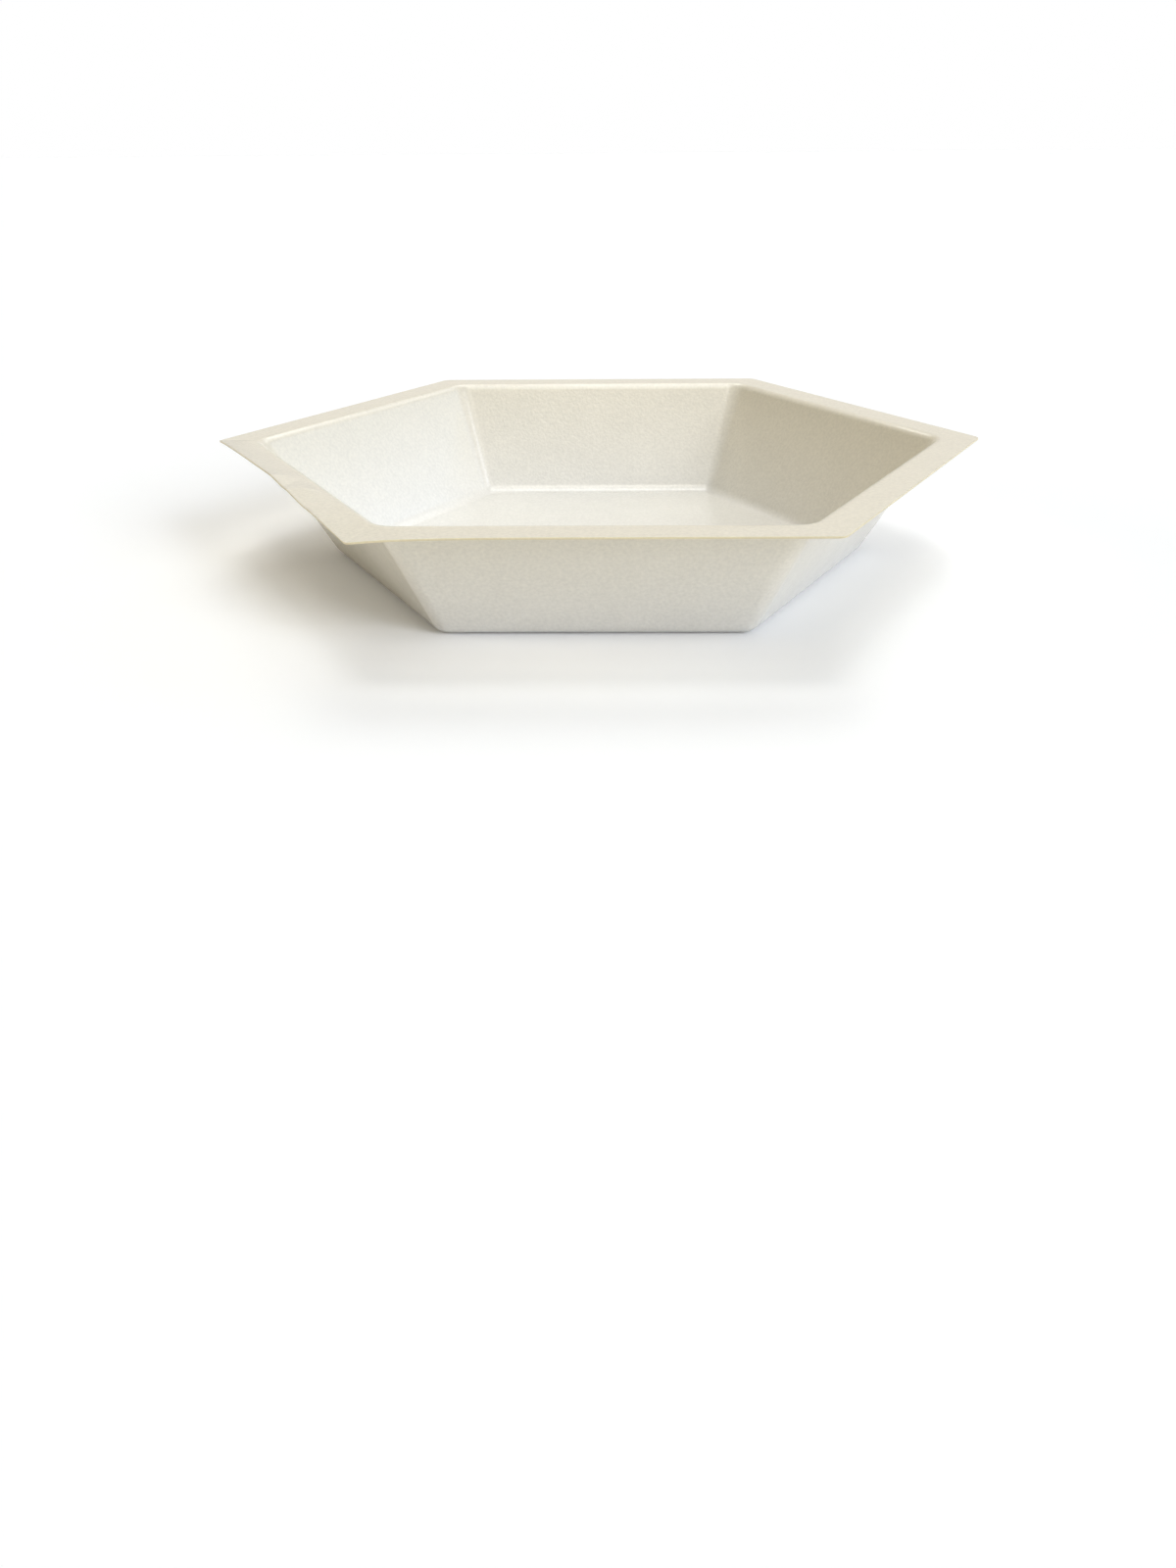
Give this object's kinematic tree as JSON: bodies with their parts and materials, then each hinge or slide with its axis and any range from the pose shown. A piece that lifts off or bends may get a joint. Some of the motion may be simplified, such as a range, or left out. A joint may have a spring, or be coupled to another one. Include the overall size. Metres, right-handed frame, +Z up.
{
  "type": "weighing boat",
  "caption": "Shallow hexagonal weighing boat formed from one thin plastic sheet, with a flat floor, sloping walls, a rolled mouth and a flat cut rim that is bent at one corner.",
  "frame": {"origin": "centre of the floor's underside, which the boat stands on", "axes": "+X through two opposite corners, away from the corner beside the bent rim; +Y square to two flat sides, away from the front one; +Z up out of the mouth"},
  "size_m": [0.1504, 0.1308, 0.0245],
  "materials": {
    "polystyrene": "satin cream-white polystyrene sheet with a fine grain"
  },
  "bodies": {
    "root": {"weighing_boat": "polystyrene"}
  },
  "joints": []
}
